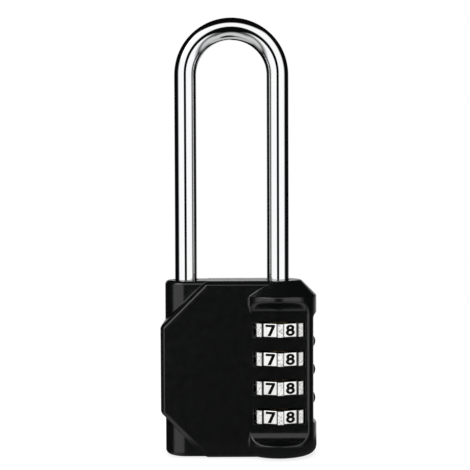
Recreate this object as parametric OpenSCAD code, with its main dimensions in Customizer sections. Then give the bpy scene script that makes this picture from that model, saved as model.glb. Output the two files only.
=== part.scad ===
// Four-dial resettable combination padlock with a long steel shackle.
// Frame: Z up, front face towards -Y, origin at the centre of the base.

/* [Body] */
// Overall width of the body
body_w = 43.6; // [43.3:0.1:44.4]
// Height of the body
body_h = 49; // [48.8:0.1:49.8]
// Thickness across the flat front and back faces
body_t = 14; // [13.6:0.1:14.6]
// Radius of the dial column and its end bosses
boss_r = 10.8; // [10.7:0.05:11]
// Length cut off the two left corners of the faceted plate
corner_cut = 12.5; // [9:0.1:13]
// Thickness of the inner slab with the round left edge
slab_t = 11.8; // [10.4:0.1:12.2]
// Bevel round the edge of the plate
plate_bevel = 1; // [0.3:0.1:1.2]
// Distance from the dial axis to the flat side of the dial window zone
side_flat = 9.7; // [9.6:0.05:9.75]
// Bevel round the top of the dial column
boss_bevel = 4.3; // [3.8:0.1:4.5]

/* [Shackle] */
// Diameter of the shackle rod
rod_d = 6.2; // [5.8:0.1:6.2]
// Distance between the centres of the two legs
leg_spacing = 25.9; // [25.8:0.1:27]
// Height of the shackle above the body
shackle_rise = 73.4; // [30:0.2:90]
// Depth of the short leg inside the body when locked
toe_depth = 6.4; // [4:0.1:6.8]

/* [Dials] */
// Distance between dial centres, which is also the lift that frees the shackle
dial_pitch = 8; // [7.8:0.1:8]
// Height of the middle of the dial stack above the base
stack_z = 23.6; // [23.55:0.05:23.8]
// Thickness of a dial
dial_t = 3.7; // [3.6:0.05:3.75]
// Distance from the axis to a flat digit face
face_r = 8.9; // [8.8:0.05:9]
// Radius over the grip ribs
rib_r = 9.8; // [9.7:0.05:9.8]
// Width of a flat digit face
face_w = 3.7; // [3.6:0.02:3.8]

/* [Mechanism] */
// Travel that takes the sleeves out of the dials to set a new code
reset_stroke = 1.6; // [1.5:0.05:1.7]
// Outer radius of a sleeve
sleeve_r = 4.9; // [4.8:0.05:5]
// Radius over the sleeve teeth
tooth_r = 6; // [5.8:0.05:6]
// Radius over the lugs of the long leg
lug_r = 4; // [3.8:0.05:4]
// Wire diameter of the reset spring
wire_d = 0.6; // [0.5:0.05:0.7]

/* [Hidden] */

$fn = 64;
eps = 0.01;
dials = 4;
digits = 10;
digit_step = 360 / digits;

// axes of the two legs, and the bend of the shackle
left_x = -body_w / 2;
axis_x = body_w / 2 - boss_r;
toe_x = axis_x - leg_spacing;
rod_r = rod_d / 2;
bend_r = leg_spacing / 2;
bend_x = (axis_x + toe_x) / 2;
bend_z = body_h + shackle_rise - rod_r - bend_r;
toe_z = body_h - toe_depth;
toe_chamfer = 0.9;

// sculpted window zone between the two bosses
cove_low_r = 3.6;
cove_low_z = 7.75;
cove_high_r = 3.3;
cove_high_z = 39.7;
side_cove_r = 1.3;
side_low_z = 8.85;
side_high_z = 39.75;
boss_round = 2.4;
slab_round = 1.2;
bump_r = 2.2;
bump_proud = 0.8;
bump_w = 3;

// dial pockets and dials
pocket_r = 9.95;
pocket_h = 4.3;
groove_w = 1.7;
groove_floor_r = 6.2;
relief_r = 6.35;
land_r = 5.1;
spline_z = 0.35;
notch_flare = 0.38;
dial_rest_turn = 1.4;
numeral_shift = 0.05;
numeral_t = 0.06;

// sleeves, lugs and what holds them
sleeve_gap = 0.05;
sleeve_h = dial_pitch - sleeve_gap;
lug_h = 1.9;
lug_w = 1.8;
lug_rest = 0.15;
key_w = 2.1;
key_r = lug_r + 0.15;
bore_r = rod_r + 0.15;
turn_room_h = lug_h + reset_stroke + 0.35;
tooth_h = 1.3;
tooth_low_z = 0.55;
tooth_w = 1.4;
teeth = 5;
sleeve_bore_r = sleeve_r + 0.15;
chamber_r = 4.3;
lift_play = 0.05;

// lower end of the long leg
washer_t = 0.4;
washer_r = 5.2;
washer_bore_r = 4.25;
spring_bore_r = 5.4;
spring_r = 4.75;
spring_turns = 4.5;
plug_r = 5;
plug_flange_r = 6.2;
plug_low_z = 0.15;
plug_step_z = 0.8;
plug_top_z = 1.65;
fit_gap = 0.05;
leg_end_z = 2.1;
toe_gap = 0.2;

// fasteners and the click spring
pin_r = 1.18;
pin_hole_r = 1.2;
pin_front_y = -4.6;
pin_back_y = 6.2;
pin_places = [[-7.5, 43.4], [-7.5, 6.2], [-18.6, 24.5], [axis_x + 6.9, 43.6], [axis_x + 7.2, 5.4]];
leaf_back = 11.5;
leaf_t = 0.35;
leaf_w = 4.8;
finger_w = 3;
nose_r = face_r + 0.11;
leaf_low_z = 7.95;
leaf_high_z = 39.85;

function dial_z(n) = stack_z + (1.5 - n) * dial_pitch;
function sleeve_z(n) = dial_z(n) - dial_pitch / 2;
chamber_low_z = sleeve_z(0) + dial_pitch;
chamber_top_z = chamber_low_z + lug_rest + lug_h + lift_play;

// ---------- outer form of the body ----------

// removes a bevel along an edge of the plate, on the front and the back
module plate_edge(x, z, angle) {
    side = plate_bevel * sqrt(2);
    for (s = [-1, 1])
        translate([x, s * body_t / 2, z]) rotate([0, -angle, 0]) rotate([45, 0, 0])
            cube([2 * body_h, side, side], center = true);
}

// thick faceted plate with two cut corners on the left
module plate() {
    difference() {
        rotate([90, 0, 0]) linear_extrude(body_t, center = true)
            polygon([[left_x, corner_cut], [left_x, body_h - corner_cut],
                [left_x + corner_cut, body_h], [axis_x, body_h],
                [axis_x, 0], [left_x + corner_cut, 0]]);
        plate_edge(left_x, body_h / 2, 90);
        plate_edge(0, body_h, 0);
        plate_edge(0, 0, 0);
        plate_edge(left_x + corner_cut / 2, body_h - corner_cut / 2, 45);
        plate_edge(left_x + corner_cut / 2, corner_cut / 2, -45);
    }
}

// half of the slab's section, with rounded corners at the top and the base
module slab_section() {
    translate([0, slab_round]) square([slab_t / 2, body_h - 2 * slab_round]);
    square([slab_t / 2 - slab_round, body_h]);
    for (z = [slab_round, body_h - slab_round])
        translate([slab_t / 2 - slab_round, z]) circle(r = slab_round);
}

// thinner slab whose left edge is fully round, seen at the cut corners
module slab() {
    translate([toe_x, 0, 0]) {
        rotate_extrude() slab_section();
        rotate([90, 0, 90]) linear_extrude(leg_spacing) {
            slab_section();
            mirror([1, 0]) slab_section();
        }
    }
}

// half section of the dial column, bevelled at the top and rounded at the base
module column_section() {
    difference() {
        polygon([[0, 0], [boss_r, 0], [boss_r, body_h - boss_bevel],
            [boss_r - boss_bevel, body_h], [0, body_h]]);
        translate([boss_r - boss_round, -eps]) difference() {
            square([boss_round + eps, boss_round + eps]);
            translate([0, boss_round + eps]) circle(r = boss_round);
        }
    }
}

// what is cut off the column in front of the flat face, with a cove at each end
module face_cut() {
    translate([axis_x, 0, 0]) rotate([90, 0, 90]) linear_extrude(3 * boss_r, center = true) {
        translate([body_t / 2, cove_low_z]) square([boss_r, cove_high_z - cove_low_z]);
        translate([body_t / 2 + cove_low_r, cove_low_z]) circle(r = cove_low_r);
        translate([body_t / 2 + cove_high_r, cove_high_z]) circle(r = cove_high_r);
    }
}

// what is cut off the side of the column, with a small cove at each end
module side_cut() {
    rotate([90, 0, 0]) linear_extrude(3 * boss_r, center = true) {
        translate([axis_x + side_flat, side_low_z + side_cove_r])
            square([boss_r, side_high_z - side_low_z - 2 * side_cove_r]);
        for (z = [side_low_z + side_cove_r, side_high_z - side_cove_r])
            translate([axis_x + side_flat + side_cove_r, z]) circle(r = side_cove_r);
    }
}

module column() {
    difference() {
        translate([axis_x, 0, 0]) rotate_extrude($fn = 96) column_section();
        face_cut();
        mirror([0, 1, 0]) face_cut();
        side_cut();
    }
}

// raised marks on the side that show which digit is set
module index_bumps() {
    for (n = [0 : dials - 2])
        translate([axis_x + side_flat + bump_proud - bump_r, 0, (dial_z(n) + dial_z(n + 1)) / 2])
            rotate([90, 0, 0]) cylinder(r = bump_r, h = bump_w, center = true);
}

// ---------- hollows of the body ----------

module pin_holes() {
    for (p = pin_places)
        translate([p[0], pin_front_y, p[1]]) rotate([-90, 0, 0])
            cylinder(r = pin_hole_r, h = 2 * boss_r, $fn = 32);
}

// pockets that keep the castings to an even wall
module cored_pockets() {
    for (x = [[-16.5, 7], [-7.6, 5.4]], z = [10.4, 27.5])
        translate([x[0], -body_t / 2 + 2.5, z]) cube([x[1], body_t - 5, 11.4]);
}

module hollows() {
    // long leg, room for the top lug, sleeves, spring and plug
    translate([axis_x, 0, 0]) {
        translate([0, 0, chamber_top_z - eps]) cylinder(r = bore_r, h = body_h);
        translate([0, 0, chamber_low_z]) cylinder(r = chamber_r, h = chamber_top_z - chamber_low_z);
        translate([0, 0, sleeve_z(3) - eps]) cylinder(r = sleeve_bore_r, h = dials * dial_pitch + eps);
        translate([0, 0, plug_top_z]) cylinder(r = spring_bore_r, h = sleeve_z(3) - plug_top_z);
        translate([0, 0, plug_step_z])
            cylinder(r = plug_flange_r + fit_gap, h = plug_top_z + fit_gap - plug_step_z);
        translate([0, 0, -eps]) cylinder(r = plug_r + fit_gap, h = plug_step_z + 2 * eps);
        for (n = [0 : dials - 1])
            translate([0, 0, dial_z(n) - pocket_h / 2]) cylinder(r = pocket_r, h = pocket_h, $fn = 96);
        translate([-leaf_back - 0.1, -leaf_w / 2 - 0.2, leaf_low_z - 0.2])
            cube([3, leaf_w + 0.4, leaf_high_z - leaf_low_z + 0.4]);
    }
    // short leg
    translate([toe_x, 0, toe_z - toe_gap]) cylinder(r = rod_r + toe_gap, h = body_h);
    pin_holes();
    cored_pockets();
}

module whole_body() {
    difference() {
        union() {
            plate();
            slab();
            column();
            index_bumps();
        }
        hollows();
    }
}

module front_shell() {
    color([0.02, 0.02, 0.022]) intersection() {
        whole_body();
        translate([-body_w, -body_w, -eps]) cube([2 * body_w, body_w, 2 * body_h]);
    }
}

module rear_shell() {
    color([0.02, 0.02, 0.022]) intersection() {
        whole_body();
        translate([-body_w, 0, -eps]) cube([2 * body_w, body_w, 2 * body_h]);
    }
}

// ---------- parts fixed to the body ----------

// stepped disc held in a groove between the two shells
module bottom_plug() {
    color([0.05, 0.05, 0.055]) translate([axis_x, 0, 0]) {
        translate([0, 0, plug_low_z]) cylinder(r = plug_r, h = plug_step_z - plug_low_z + fit_gap);
        translate([0, 0, plug_step_z + fit_gap])
            cylinder(r = plug_flange_r, h = plug_top_z - plug_step_z - fit_gap);
    }
}

// plain pins driven in from the back to join the shells
module drive_pins() {
    color([0.35, 0.35, 0.37]) for (p = pin_places)
        translate([p[0], pin_front_y + fit_gap, p[1]]) rotate([-90, 0, 0])
            cylinder(r = pin_r, h = pin_back_y - pin_front_y, $fn = 32);
}

// leaf spring whose fingers rest between the ribs of the dials
module click_spring() {
    color([0.75, 0.76, 0.78]) translate([axis_x, 0, 0]) {
        translate([-leaf_back, -leaf_w / 2, leaf_low_z]) cube([leaf_t, leaf_w, leaf_high_z - leaf_low_z]);
        for (n = [0 : dials - 1])
            translate([0, 0, dial_z(n)]) rotate([90, 0, 0]) linear_extrude(finger_w, center = true)
                polygon([[-leaf_back + leaf_t / 2, -3.35], [-nose_r, -0.5], [-nose_r, 0.5], [-10, 1.4],
                    [-10.25, 1.15], [-nose_r - 0.34, 0.35], [-nose_r - 0.34, -0.4],
                    [-leaf_back + leaf_t / 2, -2.8]]);
    }
}

// ---------- coil spring ----------

coil_sides = 6;
coil_steps = 16;
coil_low_z = plug_top_z + wire_d / 2 + fit_gap;
coil_high_z = sleeve_z(3) - fit_gap - washer_t - fit_gap - wire_d / 2;
coil_rings = floor(spring_turns * coil_steps);

// the end turns lie flat and the turns between them climb evenly
function climb(turn) = min(1, max(0, (turn - 0.75) / (spring_turns - 1.5)));
function coil_point(i, k) =
    let (turn = i / coil_steps, a = 360 * turn, b = 360 * k / coil_sides,
        r = spring_r + wire_d / 2 * cos(b))
    [r * cos(a), r * sin(a),
        coil_low_z + (coil_high_z - coil_low_z) * climb(turn) + wire_d / 2 * sin(b)];

module reset_spring() {
    points = [for (i = [0 : coil_rings], k = [0 : coil_sides - 1]) coil_point(i, k)];
    sides = [for (i = [0 : coil_rings - 1], k = [0 : coil_sides - 1])
        let (a = i * coil_sides, k2 = (k + 1) % coil_sides)
        [a + k, a + k2, a + coil_sides + k2, a + coil_sides + k]];
    first = [for (k = [coil_sides - 1 : -1 : 0]) k];
    last = [for (k = [0 : coil_sides - 1]) coil_rings * coil_sides + k];
    color([0.7, 0.71, 0.73]) translate([axis_x, 0, 0])
        polyhedron(points, concat(sides, [first], [last]));
}

// ---------- shackle ----------

// the lugs stand on the side of the long leg that faces the short one
module shackle() {
    color([0.8, 0.81, 0.83]) {
        translate([bend_x, 0, bend_z]) rotate([90, 0, 0])
            rotate_extrude(angle = 180, $fn = 128) translate([bend_r, 0]) circle(r = rod_r);
        translate([axis_x, 0, leg_end_z]) cylinder(r = rod_r, h = bend_z - leg_end_z);
        translate([toe_x, 0, toe_z + toe_chamfer]) cylinder(r = rod_r, h = bend_z - toe_z - toe_chamfer);
        translate([toe_x, 0, toe_z]) cylinder(r1 = rod_r - toe_chamfer, r2 = rod_r, h = toe_chamfer);
        for (n = [0 : dials - 1])
            translate([axis_x - lug_r, -lug_w / 2, sleeve_z(n) + lug_rest]) cube([lug_r, lug_w, lug_h]);
    }
}

// ---------- dials ----------

// ribs with flat digit faces between them, turned a little past the middle of the window
module dial_outline() {
    difference() {
        circle(r = rib_r, $fn = 96);
        for (d = [0 : digits - 1])
            rotate(d * digit_step + dial_rest_turn)
                polygon([[face_r, -face_w / 2], [face_r + 2, -face_w / 2 - 2 * notch_flare],
                    [face_r + 2, face_w / 2 + 2 * notch_flare], [face_r, face_w / 2]]);
    }
}

module dial(n) {
    color([0.82, 0.82, 0.8]) translate([axis_x, 0, dial_z(n)]) difference() {
        translate([0, 0, -dial_t / 2]) linear_extrude(dial_t) dial_outline();
        translate([0, 0, -dial_t]) cylinder(r = land_r, h = 2 * dial_t);
        translate([0, 0, -dial_t]) cylinder(r = relief_r, h = dial_t + spline_z);
        for (d = [0 : digits - 1])
            rotate(d * digit_step) translate([0, -groove_w / 2, 0])
                intersection() {
                    cube([groove_floor_r + 1, groove_w, dial_t]);
                    translate([0, groove_w / 2, 0]) cylinder(r = groove_floor_r, h = dial_t);
                }
    }
}

// ---------- numerals ----------

num_h = 3.15;
num_w = 2.65;
pen = 0.84;
thin_pen = 0.66;
arc_steps = 10;

function arc_points(c, r, from, to) =
    [for (i = [0 : arc_steps]) let (a = from + (to - from) * i / arc_steps)
        [c[0] + r[0] * cos(a), c[1] + r[1] * sin(a)]];

// an elliptical stroke, thicker at its sides, from one angle to another
module stroke_arc(c, r, from, to) {
    polygon(concat(arc_points(c, r, from, to), arc_points(c, [r[0] - pen, r[1] - thin_pen], to, from)));
}

// a closed elliptical ring
module stroke_ring(c, r) {
    difference() {
        polygon([for (i = [0 : 2 * arc_steps - 1]) let (a = 180 * i / arc_steps)
            [c[0] + r[0] * cos(a), c[1] + r[1] * sin(a)]]);
        polygon([for (i = [0 : 2 * arc_steps - 1]) let (a = 180 * i / arc_steps)
            [c[0] + (r[0] - pen) * cos(a), c[1] + (r[1] - thin_pen) * sin(a)]]);
    }
}

module numeral(d) {
    w = num_w / 2;
    h = num_h / 2;
    if (d == 0) stroke_ring([0, 0], [w, h]);
    if (d == 1)
        polygon([[-0.72, 0.62], [-0.72, 1.1], [0, h], [0.42, h], [0.42, -h], [-0.3, -h], [-0.3, 0.82]]);
    if (d == 2) {
        stroke_arc([0, h - 1], [w - 0.08, 1], -38, 172);
        polygon([[1, 0.1], [0.42, 0.3], [-w, -0.98], [-w, -h],
            [w, -h], [w, -h + 0.64], [-0.02, -h + 0.64]]);
    }
    if (d == 3) {
        stroke_arc([0, h - 0.86], [w - 0.12, 0.86], -92, 165);
        stroke_arc([0, -h + 0.97], [w, 0.97], -168, 92);
        translate([-0.42, -0.06]) square([0.5, 0.4]);
    }
    if (d == 4) difference() {
        polygon([[0.24, h], [0.9, h], [0.9, -0.36], [w + 0.06, -0.36], [w + 0.06, -0.94],
            [0.9, -0.94], [0.9, -h], [0.24, -h], [0.24, -0.94], [-w - 0.04, -0.94], [-w - 0.04, -0.4]]);
        polygon([[0.24, -0.36], [0.24, 0.62], [-0.52, -0.36]]);
    }
    if (d == 5) {
        stroke_arc([0, -h + 1.02], [w, 1.02], -165, 128);
        polygon([[-0.92, h], [w - 0.1, h], [w - 0.1, h - 0.64],
            [-0.36, h - 0.64], [-0.5, 0.2], [-1.12, 0]]);
    }
    if (d == 6) six_or_nine();
    if (d == 7)
        polygon([[-w, h], [w, h], [w, h - 0.52], [0.14, -h],
            [-0.82, -h], [0.36, h - 0.68], [-w, h - 0.68]]);
    if (d == 8) {
        stroke_ring([0, h - 0.89], [w - 0.12, 0.89]);
        stroke_ring([0, -h + 0.99], [w, 0.99]);
    }
    if (d == 9) rotate(180) six_or_nine();
}

module six_or_nine() {
    h = num_h / 2;
    stroke_ring([0, -h + 0.98], [num_w / 2, 0.98]);
    stroke_arc([0.02, -0.1], [num_w / 2 + 0.02, h + 0.1], 52, 190);
}

module numerals(n) {
    color([0.01, 0.01, 0.01]) translate([axis_x, 0, dial_z(n)])
        for (d = [0 : digits - 1])
            rotate([0, 0, d * digit_step + dial_rest_turn]) translate([face_r, numeral_shift, 0])
                rotate([90, 0, 90]) linear_extrude(numeral_t) numeral(d);
}

// ---------- sleeves ----------

// keyed tube: a lug of the leg turns freely in its lower end and passes its upper end only at the key slot
module sleeve(n) {
    color([0.78, 0.62, 0.3]) translate([axis_x, 0, sleeve_z(n)]) difference() {
        union() {
            cylinder(r = sleeve_r, h = sleeve_h);
            for (t = [0 : teeth - 1])
                rotate(t * 360 / teeth) intersection() {
                    translate([0, -tooth_w / 2, dial_pitch / 2 + tooth_low_z])
                        cube([tooth_r + 1, tooth_w, tooth_h]);
                    cylinder(r = tooth_r, h = sleeve_h);
                }
        }
        translate([0, 0, -eps]) cylinder(r = bore_r, h = dial_pitch);
        translate([0, 0, -eps]) cylinder(r = key_r, h = turn_room_h + eps);
        translate([-key_r, -key_w / 2, -eps]) cube([key_r, key_w, dial_pitch]);
    }
}

// washer between the lowest sleeve and the spring
module thrust_washer() {
    color([0.6, 0.6, 0.62]) translate([axis_x, 0, sleeve_z(3) - fit_gap - washer_t]) difference() {
        cylinder(r = washer_r, h = washer_t);
        translate([0, 0, -eps]) cylinder(r = washer_bore_r, h = 1);
    }
}

// ---------- one line per node ----------

front_shell();
rear_shell();
bottom_plug();
drive_pins();
click_spring();
reset_spring();
shackle();
dial(0);  // dial_1
dial(1);  // dial_2
dial(2);  // dial_3
dial(3);  // dial_4
numerals(0);  // numerals_1
numerals(1);  // numerals_2
numerals(2);  // numerals_3
numerals(3);  // numerals_4
sleeve(0);  // sleeve_1
sleeve(1);  // sleeve_2
sleeve(2);  // sleeve_3
sleeve(3);  // sleeve_4
thrust_washer();
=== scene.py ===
"""Looks for a four-dial combination padlock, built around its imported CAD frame."""
import math

import bmesh
import bpy
import numpy as np
from mathutils import Matrix, Vector


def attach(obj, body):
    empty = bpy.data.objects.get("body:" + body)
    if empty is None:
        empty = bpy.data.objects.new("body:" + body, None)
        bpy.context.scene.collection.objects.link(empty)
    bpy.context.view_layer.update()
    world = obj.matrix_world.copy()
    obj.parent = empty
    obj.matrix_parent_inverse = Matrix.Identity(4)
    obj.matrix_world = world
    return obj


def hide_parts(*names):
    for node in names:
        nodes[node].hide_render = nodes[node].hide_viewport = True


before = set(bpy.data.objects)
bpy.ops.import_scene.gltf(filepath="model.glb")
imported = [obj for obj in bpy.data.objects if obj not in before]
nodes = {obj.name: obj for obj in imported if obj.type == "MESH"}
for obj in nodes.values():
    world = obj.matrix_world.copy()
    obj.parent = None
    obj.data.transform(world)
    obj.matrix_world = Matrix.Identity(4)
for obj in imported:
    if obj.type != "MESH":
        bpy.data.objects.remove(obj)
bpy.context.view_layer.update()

MM = 0.001

# ---------------------------------------------------------------- sizes, in millimetres
# shackle
ROD_R = 3.1
BEND_R, BEND_Z = 12.95, 106.35
LEG_END = 2.1
TOE_Z = 42.6
# height above the end of each leg, and the change of radius there
TOE_PROFILE = ((0, -0.9), (0.02, -0.85), (0.85, -0.04), (0.95, 0))
LEG_PROFILE = ((0.1, -0.07), (0, -0.25))
ROD_SIDES = 96
LUG_R, LUG_W, LUG_H, LUG_REST = 4.0, 1.8, 1.9, 0.15
# body
BODY_H = 49.0
LEFT_X = -21.8
AXIS_X = 11.0  # long leg, dials and bosses
TOE_X = -14.9  # short leg
PLATE_T = 7.0  # half the thickness of the faceted plate
SLAB_T = 5.9  # half the thickness of the slab behind it
PLATE_ROUND, SLAB_ROUND = 0.5, 1.2
CORNER = 12.5
BEVEL, BEVEL_ROUND = 1.0, 0.16
BOSS_R = 10.8
BOSS_BEVEL = 4.3
FOOT_ROUND, FOOT_ROUND_FRONT = 2.4, 1.6
COVE_LOW, COVE_HIGH = 7.75, 39.7
COVE_LOW_R, COVE_HIGH_R = 3.6, 3.3
SIDE_X = 9.7  # flat along the dials on the right, from the dial axis
SIDE_LOW, SIDE_HIGH = 8.85, 39.75
SIDE_FILLET = 1.3
BUMP_R, BUMP_PROUD, BUMP_HALF_W, BUMP_ROUND = 2.4, 0.8, 1.6, 1.0
COLUMN_FILLET, SLAB_FILLET, BUMP_FILLET = 0.28, 0.3, 0.25
HOLE_ROUND, POCKET_ROUND = 0.35, 0.15
# hollow steps around the dial axis: radius, bottom and top
BORES = ((5.05, 7.55, 39.61), (4.3, 39.55, 41.7), (5.4, 1.6, 7.6), (6.25, 0.8, 1.7))
PLUG_HOLE_R, PLUG_HOLE_TOP = 5.05, 1.0
LEG_HOLE_R, LEG_HOLE_Z = ROD_R + 0.15, 39.0
TOE_HOLE_R, TOE_HOLE_Z = ROD_R + 0.2, TOE_Z - 0.2
# room for the leaf spring: centre and half width from the dial axis, half depth, bottom and top
LEAF_X, LEAF_HALF_W, LEAF_HALF_D = -10.1, 1.5, 2.6
LEAF_LOW, LEAF_HIGH = 7.75, 40.05
PIN_HOLE_R = 1.2
PINS = ((-7.5, 43.4), (-7.5, 6.2), (-18.6, 24.5), (AXIS_X + 6.9, 43.6), (AXIS_X + 7.2, 5.4))
# dials
DIAL_Z = (35.6, 27.6, 19.6, 11.6)
PITCH = 8.0
DIAL_T = 3.7
POCKET_R, POCKET_H = 9.95, 4.3
DIGITS = 10
FACE_R, RIB_R, FACE_W = 8.9, 9.8, 3.7
FLARE = 0.38  # slope of the rib walls
RIB_EDGE = 2.105  # half the gap between two ribs, at their tops
DIAL_TURN = math.radians(1.4)
KEY_R, KEY_HALF_W = 6.2, 0.85


# ---------------------------------------------------------------- distance fields
def rmax(a, b, r):
    """Intersection whose convex edge is rounded with radius r."""
    return np.minimum(-r, np.maximum(a, b)) + np.hypot(np.maximum(a + r, 0), np.maximum(b + r, 0))


def rmin(a, b, r):
    """Union whose concave corner is filled with radius r."""
    return np.maximum(r, np.minimum(a, b)) - np.hypot(np.maximum(r - a, 0), np.maximum(r - b, 0))


def cut(a, b, r):
    """a without b, with the edge left behind rounded."""
    return rmax(a, -b, r)


def ramp(v, a, b):
    """0 below a, 1 above b, and straight between them."""
    return np.clip((v - a) / (b - a), 0, 1)


def rod(x, y, r):
    return np.hypot(x, y) - r


def slabs(v, low, high):
    """The layer between low and high."""
    return np.abs(v - (low + high) / 2) - (high - low) / 2


def plate_field(x, ay, z):
    """The faceted plate with its bevelled outline; ay is the distance from the seam between the halves."""
    s = math.sqrt(0.5)
    d = rmax(LEFT_X - x, (LEFT_X - x + z - BODY_H + CORNER) * s, PLATE_ROUND)
    for side in ((LEFT_X + CORNER - x - z) * s, z - BODY_H, -z):
        d = rmax(d, side, PLATE_ROUND)
    d = np.maximum(d, x - AXIS_X)
    flat = ay - PLATE_T
    bevel = (d + flat + BEVEL) * s
    return rmax(rmax(d, bevel, BEVEL_ROUND), flat, BEVEL_ROUND)


def slab_field(x, ay, z):
    """The thinner slab behind the plate, round around the short leg."""
    side = np.where(x < TOE_X, rod(x - TOE_X, ay, SLAB_T), ay - SLAB_T)
    d = rmax(side, slabs(z, 0, BODY_H), SLAB_ROUND)
    return np.maximum(d, x - AXIS_X)


def column_field(x, ay, z):
    """The column around the dials: two bosses with the window face between them."""
    u = x - AXIS_X
    r = np.hypot(u, ay)
    # the edge at the base is rounder in front than at the side
    d = rmax(r - BOSS_R, -z, FOOT_ROUND + FOOT_ROUND_FRONT * np.clip(ay / BOSS_R, 0, 1) ** 2)
    cone = (r - BOSS_R + z - BODY_H + BOSS_BEVEL) * math.sqrt(0.5)
    d = rmax(d, rmax(cone, z - BODY_H, 0.3), 0.15)
    # cove above and below the window face
    zc = np.clip(z, COVE_LOW, COVE_HIGH)
    cove = np.where(z < 25, COVE_LOW_R, COVE_HIGH_R)
    scoop = np.hypot(np.maximum(PLATE_T + cove - ay, 0), z - zc) - cove
    scoop = np.where(z == zc, PLATE_T - ay, scoop)
    # a crisp rim below the window, softer beside it and above it
    edge = 0.16 + 0.12 * ramp(COVE_LOW - z, -1.5, 1.5) + 0.14 * ramp(z, COVE_LOW + 0.5, COVE_LOW + 3)
    edge += 0.55 * ramp(z, COVE_HIGH + 0.6, COVE_HIGH + 2.4)
    d = rmax(d, -scoop, edge)
    zs = np.clip(z, SIDE_LOW + SIDE_FILLET, SIDE_HIGH - SIDE_FILLET)
    ends = np.hypot(np.maximum(SIDE_X + SIDE_FILLET - u, 0), z - zs) - SIDE_FILLET
    groove = np.where(zs == z, SIDE_X - u, ends)
    return rmax(d, -groove, 0.35)


def bumps_field(x, ay, z):
    """The index marks between the dials on the right side."""
    best = None
    for a, b in zip(DIAL_Z[:-1], DIAL_Z[1:]):
        d = np.hypot(x - (AXIS_X + SIDE_X + BUMP_PROUD - BUMP_R), z - (a + b) / 2) - BUMP_R
        d = rmax(d, ay - BUMP_HALF_W, BUMP_ROUND)
        best = d if best is None else np.minimum(best, d)
    return best


def body_field(x, y, z):
    """The front half of the body; the rear half is its mirror, with holes for the pins."""
    ay = np.abs(y)
    # the fillets fade out where the surfaces that meet share a plane
    foot, head = ramp(z, 1.2, 2.6), ramp(BODY_H - z, 1.2, 2.6)
    d = rmin(plate_field(x, ay, z), slab_field(x, ay, z), SLAB_FILLET * foot * head + 0.001)
    low_blend = COLUMN_FILLET * foot * ramp(COVE_LOW - z, 1.2, 2.6)
    high_blend = COLUMN_FILLET * ramp(z - COVE_HIGH, 1.2, 2.6) * head
    d = rmin(d, column_field(x, ay, z), low_blend + high_blend + 0.001)
    d = rmin(d, bumps_field(x, ay, z), BUMP_FILLET)
    u = x - AXIS_X
    r = np.hypot(u, ay)
    for zc in DIAL_Z:
        pocket = np.maximum(r - POCKET_R, np.abs(z - zc) - POCKET_H / 2)
        d = cut(d, pocket, POCKET_ROUND)
    d = cut(d, np.maximum(r - LEG_HOLE_R, LEG_HOLE_Z - z), HOLE_ROUND)
    for radius, low, high in BORES:
        d = np.maximum(d, -np.maximum(r - radius, slabs(z, low, high)))
    d = cut(d, np.maximum(r - PLUG_HOLE_R, z - PLUG_HOLE_TOP), 0.2)
    d = cut(d, np.maximum(rod(x - TOE_X, ay, TOE_HOLE_R), TOE_HOLE_Z - z), HOLE_ROUND)
    leaf = np.maximum(np.abs(u - LEAF_X) - LEAF_HALF_W, ay - LEAF_HALF_D)
    return np.maximum(d, -np.maximum(leaf, slabs(z, LEAF_LOW, LEAF_HIGH)))


def front_field(x, y, z):
    return rmax(body_field(x, y, z), y + 0.02, 0.1)


def rear_field(x, y, z):
    d = rmax(body_field(x, y, z), 0.02 - y, 0.1)
    for px, pz in PINS:
        d = cut(d, np.maximum(rod(x - px, z - pz, PIN_HOLE_R), -y), 0.15)
    return d


def dial_field(x, y, z):
    """One dial about its own centre: flat digit faces with grip ribs between them."""
    step = 2 * math.pi / DIGITS
    r = np.hypot(x, y)
    a = np.arctan2(y, x) - DIAL_TURN
    a = a - step * np.round(a / step)
    u, v = r * np.cos(a), np.abs(r * np.sin(a))
    wall = (FACE_W / 2 - v + (u - FACE_R) * FLARE) / math.hypot(1, FLARE)
    notch = rmax(FACE_R - u, -wall, 0.06)
    d = rmax(r - RIB_R, -notch, 0.09)
    d = rmax(d, np.abs(z) - DIAL_T / 2, 0.16)
    d = np.maximum(d, 5.1 - r)
    d = np.maximum(d, -np.maximum(r - 6.35, z - 0.35))
    b = np.arctan2(y, x)
    b = b - step * np.round(b / step)
    groove = np.maximum(np.abs(r * np.sin(b)) - KEY_HALF_W, r - KEY_R)
    return np.maximum(d, -groove)


# ---------------------------------------------------------------- surface of a field
def gradient(field, p, h=0.01):
    g = np.empty_like(p)
    for k in range(3):
        q = p.copy()
        q[:, k] += h
        hi = field(q[:, 0], q[:, 1], q[:, 2])
        q[:, k] -= 2 * h
        g[:, k] = hi - field(q[:, 0], q[:, 1], q[:, 2])
    g /= 2 * h
    return g


def settle(field, p, steps=4):
    """Moves points onto the surface of the field."""
    for _ in range(steps):
        g = gradient(field, p)
        d = field(p[:, 0], p[:, 1], p[:, 2])
        n2 = np.maximum((g * g).sum(1), 0.25)
        move = g * (d / n2)[:, None]
        length = np.linalg.norm(move, axis=1)
        move *= np.minimum(1, 0.15 / np.maximum(length, 1e-9))[:, None]
        p = p - move
    return p


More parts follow.
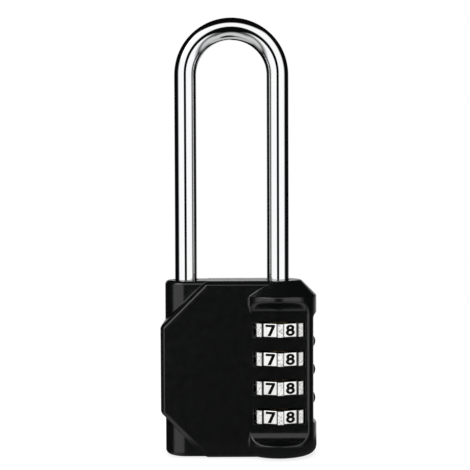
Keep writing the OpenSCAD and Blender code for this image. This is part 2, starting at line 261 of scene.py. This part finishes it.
def surface(field, low, high, h):
    """Surface nets: one point per grid cell that the surface crosses, one quad per crossed edge."""
    n = [int(math.ceil((b - a) / h)) + 1 for a, b in zip(low, high)]
    ax = [low[k] + h * np.arange(n[k]) for k in range(3)]
    f = np.empty(n)
    for i, x in enumerate(ax[0]):
        y, z = np.meshgrid(ax[1], ax[2], indexing="ij")
        f[i] = field(np.full_like(y, x), y, z)
    inside = f < 0
    c = [n[0] - 1, n[1] - 1, n[2] - 1]
    mixed = np.zeros(c, bool)
    total = np.zeros(c + [3])
    count = np.zeros(c)
    offsets = [(i, j, k) for i in (0, 1) for j in (0, 1) for k in (0, 1)]

    def corner(a, o):
        return a[o[0]:o[0] + c[0], o[1]:o[1] + c[1], o[2]:o[2] + c[2]]

    for o in offsets:
        for k in range(3):
            if o[k]:
                continue
            o2 = tuple(v + (1 if m == k else 0) for m, v in enumerate(o))
            cross = corner(inside, o) != corner(inside, o2)
            fa, fb = corner(f, o), corner(f, o2)
            t = np.where(cross, fa / np.where(fa == fb, 1, fa - fb), 0)
            for m in range(3):
                total[..., m] += np.where(cross, o[m] + (t if m == k else 0), 0)
            count += cross
            mixed |= cross
    index = -np.ones(c, int)
    cells = np.argwhere(mixed)
    index[mixed] = np.arange(len(cells))
    points = np.array(low) + h * (cells + total[mixed] / count[mixed][:, None])
    quads = []
    for k in range(3):
        a, b = (k + 1) % 3, (k + 2) % 3
        view = [slice(1, n[m] - 1) for m in range(3)]
        view[k] = slice(0, n[k] - 1)
        nxt = list(view)
        nxt[k] = slice(1, n[k])
        ia, ib = inside[tuple(view)], inside[tuple(nxt)]
        at = np.argwhere(ia != ib)
        flip = ia[tuple(at.T)]
        base = at + np.array([0 if m == k else 1 for m in range(3)])
        ring = []
        for da, db in ((0, 0), (-1, 0), (-1, -1), (0, -1)):
            q = base.copy()
            q[:, a] += da
            q[:, b] += db
            ring.append(index[q[:, 0], q[:, 1], q[:, 2]])
        ring = np.stack(ring, 1)
        ring[~flip] = ring[~flip][:, ::-1]
        quads.append(ring)
    return points, np.concatenate(quads)


def triangles(quads, points):
    """Splits each quad along its shorter diagonal."""
    d1 = np.linalg.norm(points[quads[:, 0]] - points[quads[:, 2]], axis=1)
    d2 = np.linalg.norm(points[quads[:, 1]] - points[quads[:, 3]], axis=1)
    s = d1 <= d2
    a = np.concatenate([quads[s][:, [0, 1, 2]], quads[~s][:, [0, 1, 3]]])
    b = np.concatenate([quads[s][:, [0, 2, 3]], quads[~s][:, [1, 2, 3]]])
    return np.concatenate([a, b])


def refine(field, points, tris, angle, shortest):
    """Splits the edges across which the surface turns, and settles the new points."""
    g = gradient(field, points)
    g /= np.maximum(np.linalg.norm(g, axis=1), 1e-9)[:, None]
    e = np.sort(np.concatenate([tris[:, [0, 1]], tris[:, [1, 2]], tris[:, [2, 0]]]), axis=1)
    edges, back = np.unique(e, axis=0, return_inverse=True)
    back = back.reshape(-1)
    dot = (g[edges[:, 0]] * g[edges[:, 1]]).sum(1)
    length = np.linalg.norm(points[edges[:, 0]] - points[edges[:, 1]], axis=1)
    split = (dot < math.cos(math.radians(angle))) & (length > shortest)
    new = -np.ones(len(edges), int)
    new[split] = len(points) + np.arange(split.sum())
    mid = settle(field, (points[edges[split, 0]] + points[edges[split, 1]]) / 2)
    points = np.concatenate([points, mid])
    m = new[back].reshape(3, -1).T
    out = [tris[(m < 0).all(1)]]
    for k in range(3):
        a, b, c = tris[:, k], tris[:, (k + 1) % 3], tris[:, (k + 2) % 3]
        ab, bc, ca = m[:, k], m[:, (k + 1) % 3], m[:, (k + 2) % 3]
        one = (ab >= 0) & (bc < 0) & (ca < 0)
        out.append(np.stack([a, ab, c], 1)[one])
        out.append(np.stack([ab, b, c], 1)[one])
        two = (ab >= 0) & (bc >= 0) & (ca < 0)
        out.append(np.stack([ab, b, bc], 1)[two])
        out.append(np.stack([a, ab, bc], 1)[two])
        out.append(np.stack([a, bc, c], 1)[two])
    full = (m >= 0).all(1)
    t, q = tris[full], m[full]
    out += [np.stack([t[:, 0], q[:, 0], q[:, 2]], 1), np.stack([q[:, 0], t[:, 1], q[:, 1]], 1),
            np.stack([q[:, 2], q[:, 1], t[:, 2]], 1), q]
    return points, np.concatenate(out)


def solid_piece(name, field, low, high, h, offset=(0, 0, 0), rounds=2, angle=9, shortest=0.08):
    """An object whose mesh is the surface of the field, with its normals taken from the field too."""
    points, quads = surface(field, low, high, h)
    points = settle(field, points, 6)
    tris = triangles(quads, points)
    for _ in range(rounds):
        points, tris = refine(field, points, tris, angle, shortest)
    normals = gradient(field, points)
    normals /= np.maximum(np.linalg.norm(normals, axis=1), 1e-9)[:, None]
    mesh = bpy.data.meshes.new(name)
    mesh.from_pydata(((points + np.array(offset)) * MM).tolist(), [], tris.tolist())
    mesh.polygons.foreach_set("use_smooth", np.ones(len(mesh.polygons), bool))
    mesh.update()
    mesh.normals_split_custom_set_from_vertices(normals.tolist())
    obj = bpy.data.objects.new(name, mesh)
    bpy.context.collection.objects.link(obj)
    print(name, len(points), "points", len(tris), "triangles")
    return obj


# ---------------------------------------------------------------- materials
def node_material(name):
    m = bpy.data.materials.new(name)
    m.use_nodes = True
    nt = m.node_tree
    for n in list(nt.nodes):
        nt.nodes.remove(n)
    out = nt.nodes.new("ShaderNodeOutputMaterial")
    bsdf = nt.nodes.new("ShaderNodeBsdfPrincipled")
    nt.links.new(bsdf.outputs["BSDF"], out.inputs["Surface"])
    return m, nt, bsdf


def coords(nt):
    return nt.nodes.new("ShaderNodeTexCoord").outputs["Object"]


def noise(nt, at, scale, detail=3.0, rough=0.5, stretch=None):
    if stretch:
        mp = nt.nodes.new("ShaderNodeMapping")
        mp.inputs["Scale"].default_value = stretch
        nt.links.new(at, mp.inputs["Vector"])
        at = mp.outputs["Vector"]
    n = nt.nodes.new("ShaderNodeTexNoise")
    n.inputs["Scale"].default_value = scale
    n.inputs["Detail"].default_value = detail
    n.inputs["Roughness"].default_value = rough
    nt.links.new(at, n.inputs["Vector"])
    return n.outputs["Fac"]


def remap(nt, value, a, b, lo, hi):
    n = nt.nodes.new("ShaderNodeMapRange")
    n.inputs["From Min"].default_value = a
    n.inputs["From Max"].default_value = b
    n.inputs["To Min"].default_value = lo
    n.inputs["To Max"].default_value = hi
    nt.links.new(value, n.inputs["Value"])
    return n.outputs["Result"]


def math_node(nt, op, a, b):
    n = nt.nodes.new("ShaderNodeMath")
    n.operation = op
    for k, v in enumerate((a, b)):
        if isinstance(v, (int, float)):
            n.inputs[k].default_value = v
        else:
            nt.links.new(v, n.inputs[k])
    return n.outputs["Value"]


def above(nt, value, a, soft):
    """0 below a and 1 above it, with a soft edge."""
    return remap(nt, value, a - soft, a + soft, 0, 1)


def below(nt, value, b, soft):
    """1 below b and 0 above it, with a soft edge."""
    return remap(nt, value, b - soft, b + soft, 1, 0)


def band(nt, value, a, b, soft):
    """1 between a and b, with soft edges."""
    return math_node(nt, "MULTIPLY", above(nt, value, a, soft), below(nt, value, b, soft))


def mix_color(nt, fac, a, b):
    n = nt.nodes.new("ShaderNodeMix")
    n.data_type = "RGBA"
    for sock, v in ((n.inputs["Factor"], fac), (n.inputs["A"], a), (n.inputs["B"], b)):
        if hasattr(v, "is_output"):
            nt.links.new(v, sock)
        else:
            sock.default_value = v
    return n.outputs["Result"]


def bump(nt, bsdf, height, distance, strength=1.0, after=None):
    n = nt.nodes.new("ShaderNodeBump")
    n.inputs["Distance"].default_value = distance
    n.inputs["Strength"].default_value = strength
    nt.links.new(height, n.inputs["Height"])
    if after is not None:
        nt.links.new(after, n.inputs["Normal"])
    nt.links.new(n.outputs["Normal"], bsdf.inputs["Normal"])
    return n.outputs["Normal"]


def black_paint():
    """Glossy black powder paint on a die casting."""
    m, nt, b = node_material("black_paint")
    at = coords(nt)
    cloud = noise(nt, at, 160, 4)
    worn = nt.nodes.new("ShaderNodeNewGeometry").outputs["Pointiness"]
    edge = remap(nt, worn, 0.56, 0.66, 0, 1)
    grain = noise(nt, at, 1500, 2)
    edge = math_node(nt, "MULTIPLY", edge, remap(nt, grain, 0.4, 0.65, 0.1, 1))
    base = mix_color(nt, cloud, (0.0024, 0.0027, 0.0027, 1), (0.0036, 0.0039, 0.0038, 1))
    base = mix_color(nt, math_node(nt, "MULTIPLY", edge, 0.25), base, (0.03, 0.03, 0.031, 1))
    nt.links.new(base, b.inputs["Base Color"])
    fine = noise(nt, at, 420, 5, 0.6)
    nt.links.new(remap(nt, fine, 0.3, 0.7, 0.16, 0.23), b.inputs["Roughness"])
    b.inputs["IOR"].default_value = 1.5
    b.inputs["Coat Weight"].default_value = 0.15
    b.inputs["Coat Roughness"].default_value = 0.12
    peel = noise(nt, at, 900, 3, 0.55)
    bump(nt, b, peel, 0.000012, 0.6)
    return m


def chrome():
    """Polished plated rod with fine drawing lines and a few rubbed patches."""
    m, nt, b = node_material("shackle_chrome")
    at = coords(nt)
    lines = noise(nt, at, 900, 3, 0.6, (1, 1, 0.02))
    haze = noise(nt, at, 120, 4, 0.6)
    b.inputs["Metallic"].default_value = 1.0
    base = mix_color(nt, haze, (0.86, 0.87, 0.88, 1), (0.93, 0.935, 0.94, 1))
    nt.links.new(base, b.inputs["Base Color"])
    r = math_node(nt, "ADD", remap(nt, haze, 0.35, 0.75, 0.012, 0.03), remap(nt, lines, 0.5, 0.8, 0, 0.02))
    nt.links.new(r, b.inputs["Roughness"])
    bump(nt, b, lines, 0.000002, 0.25)
    return m


def dial_metal():
    """Bright flat faces, satin cast ribs with grey flecks, painted shade near black on the rib walls, and the
    top and bottom faces darkened near black.
    """
    m, nt, b = node_material("dial_metal")
    at = coords(nt)
    xyz = nt.nodes.new("ShaderNodeSeparateXYZ")
    nt.links.new(at, xyz.inputs["Vector"])
    x = math_node(nt, "SUBTRACT", xyz.outputs["X"], AXIS_X * MM)
    y = xyz.outputs["Y"]
    xx, yy = math_node(nt, "MULTIPLY", x, x), math_node(nt, "MULTIPLY", y, y)
    r = math_node(nt, "SQRT", math_node(nt, "ADD", xx, yy), 0)
    turn = math_node(nt, "SUBTRACT", math_node(nt, "ARCTAN2", y, x), DIAL_TURN)
    step = 2 * math.pi / DIGITS
    turn = math_node(nt, "DIVIDE", turn, step)
    turn = math_node(nt, "MULTIPLY", math_node(nt, "SUBTRACT", turn, math_node(nt, "ROUND", turn, 0)), step)
    radial = math_node(nt, "MULTIPLY", r, math_node(nt, "COSINE", turn, 0))
    across = math_node(nt, "ABSOLUTE", math_node(nt, "MULTIPLY", r, math_node(nt, "SINE", turn, 0)), 0)
    on_rib = remap(nt, radial, (FACE_R + 0.05) * MM, (FACE_R + 0.15) * MM, 0, 1)
    corner = band(nt, math_node(nt, "MULTIPLY", across, 1000), FACE_W / 2 - 0.05, RIB_EDGE + 0.18, 0.02)
    lines = noise(nt, at, 1600, 4, 0.6, (1, 1, 0.05))
    specks = noise(nt, at, 2300, 3, 0.7)
    face = mix_color(nt, remap(nt, lines, 0.42, 0.72, 0, 1), (0.93, 0.93, 0.91, 1), (0.8, 0.8, 0.78, 1))
    fleck = math_node(nt, "MULTIPLY", remap(nt, specks, 0.46, 0.62, 0, 0.75), on_rib)
    base = mix_color(nt, fleck, face, (0.25, 0.25, 0.24, 1))
    # painted shade: the rib walls beside each digit face are coloured near black where shadow falls
    wall = math_node(nt, "MULTIPLY", corner, remap(nt, r, (FACE_R - 0.1) * MM, FACE_R * MM, 0, 1))
    # the top and bottom faces of the dial are darkened to near black
    normal = nt.nodes.new("ShaderNodeTexCoord").outputs["Normal"]
    nz = nt.nodes.new("ShaderNodeSeparateXYZ")
    nt.links.new(normal, nz.inputs["Vector"])
    side = remap(nt, math_node(nt, "ABSOLUTE", nz.outputs["Z"], 0), 0.6, 0.75, 0, 1)
    # painted shade on the rib walls together with the darkened top and bottom faces; both get a near-black
    # colour and no metal
    wall_shade_and_dark_sides = math_node(nt, "MAXIMUM", wall, side)
    base = mix_color(nt, wall_shade_and_dark_sides, base, (0.006, 0.006, 0.006, 1))
    nt.links.new(base, b.inputs["Base Color"])
    off_rib, not_darkened = math_node(nt, "SUBTRACT", 1, on_rib), math_node(nt, "SUBTRACT", 1, wall_shade_and_dark_sides)
    bright = math_node(nt, "MULTIPLY", off_rib, not_darkened)
    nt.links.new(math_node(nt, "MULTIPLY", bright, 0.9), b.inputs["Metallic"])
    satin = math_node(nt, "MULTIPLY", on_rib, 0.25)
    rough = math_node(nt, "ADD", remap(nt, lines, 0.3, 0.8, 0.16, 0.28), satin)
    nt.links.new(rough, b.inputs["Roughness"])
    bump(nt, b, math_node(nt, "ADD", lines, math_node(nt, "MULTIPLY", specks, on_rib)), 0.00001, 0.5)
    return m


def numeral_paint():
    """Dull black ink of the digits."""
    m, nt, b = node_material("numeral_paint")
    at = coords(nt)
    n = noise(nt, at, 1800, 3)
    nt.links.new(mix_color(nt, n, (0.001, 0.001, 0.001, 1), (0.003, 0.003, 0.003, 1)), b.inputs["Base Color"])
    nt.links.new(remap(nt, n, 0.3, 0.7, 0.35, 0.55), b.inputs["Roughness"])
    b.inputs["Specular IOR Level"].default_value = 0.06
    bump(nt, b, n, 0.00001, 0.4)
    return m


def metal(name, dark, light, rough, stretch=None):
    """Plain metal with machining lines and faint stains."""
    m, nt, b = node_material(name)
    at = coords(nt)
    lines = noise(nt, at, 1100, 4, 0.6, stretch)
    stain = noise(nt, at, 260, 4)
    base = mix_color(nt, stain, dark + (1,), light + (1,))
    nt.links.new(base, b.inputs["Base Color"])
    b.inputs["Metallic"].default_value = 1.0
    nt.links.new(remap(nt, lines, 0.3, 0.75, rough[0], rough[1]), b.inputs["Roughness"])
    bump(nt, b, lines, 0.00001, 0.4)
    return m


paint = black_paint()
plated = chrome()
pale = dial_metal()
ink = numeral_paint()
spring = metal("spring_steel", (0.42, 0.43, 0.45), (0.6, 0.61, 0.63), (0.18, 0.34))
brass = metal("sleeve_brass", (0.3, 0.21, 0.1), (0.42, 0.31, 0.16), (0.3, 0.45), (1, 1, 12))
pin_steel = metal("pin_steel", (0.16, 0.16, 0.17), (0.3, 0.3, 0.31), (0.22, 0.42))
plug_steel = metal("plug_steel", (0.05, 0.05, 0.052), (0.09, 0.09, 0.093), (0.24, 0.42))


def dress(obj, material):
    obj.data.materials.clear()
    obj.data.materials.append(material)


# ---------------------------------------------------------------- pieces
FRONT_GRID = 0.4
REAR_GRID = 0.44
DIAL_GRID = 0.24
ROUNDS = 3

front = solid_piece("front_casting", front_field, (-22.5, -11.6, -0.9), (22.5, 0.9, 49.9), FRONT_GRID,
                    rounds=ROUNDS, angle=9.4)
rear = solid_piece("rear_casting", rear_field, (-22.5, -0.9, -0.9), (22.5, 11.6, 49.9), REAR_GRID,
                   rounds=ROUNDS)
for piece, node in ((front, "front_shell"), (rear, "rear_shell")):
    dress(piece, paint)
    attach(piece, "body")
    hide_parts(node)

first = None
for n, zc in enumerate(DIAL_Z):
    name = "number_dial_%d" % (n + 1)
    if first is None:
        first = solid_piece(name, dial_field, (-10.3, -10.3, -2.7), (10.3, 10.3, 2.7), DIAL_GRID,
                            (AXIS_X, 0, zc), ROUNDS)
        dial = first
        dress(dial, pale)
    else:
        mesh = first.data.copy()
        mesh.transform(Matrix.Translation((0, 0, (zc - DIAL_Z[0]) * MM)))
        dial = bpy.data.objects.new(name, mesh)
        bpy.context.collection.objects.link(dial)
    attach(dial, "dial_%d" % (n + 1))
    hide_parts("dial_%d" % (n + 1))


def shackle_mesh():
    """A round rod swept along both legs and the bend, with a chamfered toe."""
    sides = ROD_SIDES
    path = [(TOE_X, TOE_Z + up, ROD_R + wider) for up, wider in TOE_PROFILE]
    path += [(TOE_X, z, ROD_R) for z in np.linspace(TOE_Z + 1.5, BEND_Z, 60)]
    cx = (TOE_X + AXIS_X) / 2
    path += [(cx - BEND_R * math.cos(t), BEND_Z + BEND_R * math.sin(t), ROD_R)
             for t in np.linspace(0, math.pi, 121)[1:-1]]
    path += [(AXIS_X, z, ROD_R) for z in np.linspace(BEND_Z, LEG_END + 0.3, 90)]
    path += [(AXIS_X, LEG_END + up, ROD_R + wider) for up, wider in LEG_PROFILE]
    verts, faces = [], []
    for i, (px, pz, r) in enumerate(path):
        a, b = path[max(i - 1, 0)], path[min(i + 1, len(path) - 1)]
        if abs(px - TOE_X) < 1e-6 and pz < BEND_Z:
            t = (0, 1)
        elif abs(px - AXIS_X) < 1e-6 and pz <= BEND_Z + 1e-6:
            t = (0, -1)
        else:
            length = math.hypot(b[0] - a[0], b[1] - a[1])
            t = ((b[0] - a[0]) / length, (b[1] - a[1]) / length)
        side = (-t[1], t[0])
        for k in range(sides):
            s = 2 * math.pi * k / sides
            verts.append(((px + side[0] * r * math.cos(s)) * MM, r * math.sin(s) * MM,
                          (pz + side[1] * r * math.cos(s)) * MM))
    rings = len(path)
    for i in range(rings - 1):
        for k in range(sides):
            k2 = (k + 1) % sides
            faces.append((i * sides + k, i * sides + k2, (i + 1) * sides + k2, (i + 1) * sides + k))
    faces.append(tuple(range(sides - 1, -1, -1)))
    faces.append(tuple((rings - 1) * sides + k for k in range(sides)))
    mesh = bpy.data.meshes.new("shackle_rod")
    mesh.from_pydata(verts, [], faces)
    mesh.update()
    return mesh


def finish_mesh(mesh):
    """Points every face outward and shades the mesh smooth."""
    bm = bmesh.new()
    bm.from_mesh(mesh)
    bmesh.ops.recalc_face_normals(bm, faces=bm.faces)
    bm.to_mesh(mesh)
    bm.free()
    mesh.polygons.foreach_set("use_smooth", np.ones(len(mesh.polygons), bool))


BOX_FACES = ((0, 1, 3, 2), (4, 6, 7, 5), (0, 4, 5, 1), (2, 3, 7, 6), (0, 2, 6, 4), (1, 5, 7, 3))


def add_lugs(mesh):
    """Square lugs on the side of the long leg that faces the short one, one for each sleeve."""
    verts = [tuple(v.co) for v in mesh.vertices]
    faces = [tuple(p.vertices) for p in mesh.polygons]
    for zc in DIAL_Z:
        low = zc - PITCH / 2 + LUG_REST
        x0, x1 = (AXIS_X - LUG_R) * MM, (AXIS_X - ROD_R * 0.8) * MM
        y0, z0, z1 = LUG_W / 2 * MM, low * MM, (low + LUG_H) * MM
        k = len(verts)
        verts += [(x, y, z) for x in (x0, x1) for y in (-y0, y0) for z in (z0, z1)]
        faces += [tuple(k + i for i in face) for face in BOX_FACES]
    mesh.clear_geometry()
    mesh.from_pydata(verts, [], faces)
    mesh.update()


rod_mesh = shackle_mesh()
add_lugs(rod_mesh)
finish_mesh(rod_mesh)
shackle = bpy.data.objects.new("shackle_rod", rod_mesh)
bpy.context.collection.objects.link(shackle)
dress(shackle, plated)
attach(shackle, "shackle")
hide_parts("shackle")

for k in range(1, 5):
    dress(nodes["numerals_%d" % k], ink)
    dress(nodes["sleeve_%d" % k], brass)
dress(nodes["bottom_plug"], plug_steel)
dress(nodes["drive_pins"], pin_steel)
dress(nodes["click_spring"], spring)
dress(nodes["reset_spring"], spring)
dress(nodes["thrust_washer"], spring)


# ---------------------------------------------------------------- studio
FLOOR_HALF, FLOOR_DROP = 0.9, -0.0002
FLOOR_FADE = (0.12, 0.42)
SHADE_CENTRE, SHADE_FADE = (0.010, 0, 0), (0.025, 0.030)
LENS_TO_WIDTH = 994.0 / 470.0
CAMERA_AT = (-1.03 * MM, -0.280, 70.35 * MM)
CAMERA_DOWN, CAMERA_ROLL = 1.8, 0.22


def studio_world():
    """Soft light by direction; the camera itself sees plain white."""
    world = bpy.data.worlds.new("studio")
    bpy.context.scene.world = world
    world.use_nodes = True
    nt = world.node_tree
    for n in list(nt.nodes):
        nt.nodes.remove(n)
    out = nt.nodes.new("ShaderNodeOutputWorld")
    back = nt.nodes.new("ShaderNodeBackground")
    d = nt.nodes.new("ShaderNodeTexCoord").outputs["Generated"]
    xyz = nt.nodes.new("ShaderNodeSeparateXYZ")
    nt.links.new(d, xyz.inputs["Vector"])
    x, y, z = (xyz.outputs[k] for k in "XYZ")
    degrees = 180 / math.pi
    # azimuth 0 is out of the face and 90 is to the right; elevation 0 is level
    az = math_node(nt, "ARCTAN2", x, math_node(nt, "MULTIPLY", y, -1))
    az = math_node(nt, "MULTIPLY", az, degrees)
    el = math_node(nt, "MULTIPLY", math_node(nt, "ARCSINE", z, 0), degrees)
    aaz = math_node(nt, "ABSOLUTE", az, 0)
    # a wide soft box in front, with a dark gap in the middle, that fades toward the floor
    boxes = math_node(nt, "MULTIPLY", below(nt, aaz, 72, 7), below(nt, el, 55, 4))
    gap = math_node(nt, "MULTIPLY", below(nt, aaz, 12, 1.2), band(nt, el, -40, 15, 3))
    boxes = math_node(nt, "MULTIPLY", boxes, math_node(nt, "SUBTRACT", 1, gap))
    boxes = math_node(nt, "MULTIPLY", boxes, remap(nt, el, -27, -13, 0.1, 1))
    # light from below
    low = below(nt, el, -48, 5)
    sides = math_node(nt, "MULTIPLY", band(nt, aaz, 30, 110, 8), below(nt, el, -32, 5))
    low = math_node(nt, "MAXIMUM", low, sides)
    boxes = math_node(nt, "ADD", boxes, math_node(nt, "MULTIPLY", low, 0.5))
    # a strong box at the upper left, a strip behind and one at the back right
    key = math_node(nt, "MULTIPLY", band(nt, az, -64, -24, 5), band(nt, el, 24, 46, 4))
    behind = math_node(nt, "MULTIPLY", above(nt, aaz, 150, 4), band(nt, el, -4, 14, 3))
    right = math_node(nt, "MULTIPLY", remap(nt, az, 125, 165, 0, 1), band(nt, el, -26, -4, 3))
    light = math_node(nt, "MULTIPLY", boxes, 1.06)
    light = math_node(nt, "ADD", light, math_node(nt, "MULTIPLY", behind, 0.6))
    light = math_node(nt, "ADD", light, math_node(nt, "MULTIPLY", key, 2.6))
    light = math_node(nt, "ADD", light, math_node(nt, "MULTIPLY", right, 0.8))
    light = math_node(nt, "ADD", light, 0.003)
    path = nt.nodes.new("ShaderNodeLightPath")
    seen = mix_color(nt, path.outputs["Is Camera Ray"], light, (1.0, 1.0, 1.0, 1))
    nt.links.new(seen, back.inputs["Color"])
    nt.links.new(back.outputs["Background"], out.inputs["Surface"])


studio_world()


def floor():
    """A pale floor that fades out, and hides the light below from what stands close to it."""
    half = FLOOR_HALF
    verts = [(-half, -half, 0), (half, -half, 0), (half, half, 0), (-half, half, 0)]
    mesh = bpy.data.meshes.new("studio_floor")
    mesh.from_pydata(verts, [], [(0, 1, 2, 3)])
    obj = bpy.data.objects.new("studio_floor", mesh)
    bpy.context.collection.objects.link(obj)
    obj.location.z = FLOOR_DROP
    m = bpy.data.materials.new("studio_floor")
    m.use_nodes = True
    nt = m.node_tree
    b = nt.nodes["Principled BSDF"]
    b.inputs["Base Color"].default_value = (0.3, 0.3, 0.3, 1)
    b.inputs["Roughness"].default_value = 0.6
    b.inputs["Specular IOR Level"].default_value = 0.2
    b.inputs["Emission Color"].default_value = (1, 1, 1, 1)
    b.inputs["Emission Strength"].default_value = 0.8
    out = nt.nodes["Material Output"]
    clear = nt.nodes.new("ShaderNodeBsdfTransparent")
    mixer = nt.nodes.new("ShaderNodeMixShader")
    at = nt.nodes.new("ShaderNodeTexCoord").outputs["Object"]
    length = nt.nodes.new("ShaderNodeVectorMath")
    length.operation = "LENGTH"
    nt.links.new(at, length.inputs[0])
    nt.links.new(remap(nt, length.outputs["Value"], *FLOOR_FADE, 0, 1), mixer.inputs["Fac"])
    nt.links.new(b.outputs["BSDF"], mixer.inputs[1])
    nt.links.new(clear.outputs["BSDF"], mixer.inputs[2])
    # reflections show only a dark patch around the foot of the dials
    shade = nt.nodes.new("ShaderNodeEmission")
    shade.inputs["Color"].default_value = (0.06, 0.06, 0.06, 1)
    near = nt.nodes.new("ShaderNodeMixShader")
    reach = nt.nodes.new("ShaderNodeVectorMath")
    reach.operation = "DISTANCE"
    reach.inputs[1].default_value = SHADE_CENTRE
    nt.links.new(at, reach.inputs[0])
    nt.links.new(remap(nt, reach.outputs["Value"], *SHADE_FADE, 0, 1), near.inputs["Fac"])
    nt.links.new(shade.outputs["Emission"], near.inputs[1])
    nt.links.new(clear.outputs["BSDF"], near.inputs[2])
    choose = nt.nodes.new("ShaderNodeMixShader")
    path = nt.nodes.new("ShaderNodeLightPath")
    nt.links.new(path.outputs["Is Glossy Ray"], choose.inputs["Fac"])
    nt.links.new(mixer.outputs["Shader"], choose.inputs[1])
    nt.links.new(near.outputs["Shader"], choose.inputs[2])
    nt.links.new(choose.outputs["Shader"], out.inputs["Surface"])
    obj.data.materials.append(m)


floor()


def softbox(name, at, target, width, height, power):
    data = bpy.data.lights.new(name, "AREA")
    data.shape = "RECTANGLE"
    data.size, data.size_y = width, height
    data.energy = power
    obj = bpy.data.objects.new(name, data)
    obj.location = at
    obj.rotation_euler = (Vector(target) - Vector(at)).to_track_quat("-Z", "Y").to_euler()
    bpy.context.collection.objects.link(obj)
    return obj


top = softbox("top_light", (0, 0.05, 0.7), (0, 0, 0.02), 0.5, 0.5, 4.0)
top.visible_glossy = False

camera = bpy.data.cameras.new("camera")
camera.sensor_width = 36.0
camera.lens = LENS_TO_WIDTH * camera.sensor_width
camera.clip_start = 0.01
bpy.context.scene.view_settings.view_transform = "Standard"
cam = bpy.data.objects.new("camera", camera)
cam.location = CAMERA_AT
cam.rotation_euler = (math.radians(90 - CAMERA_DOWN), math.radians(CAMERA_ROLL), 0)
bpy.context.collection.objects.link(cam)
bpy.context.scene.camera = cam
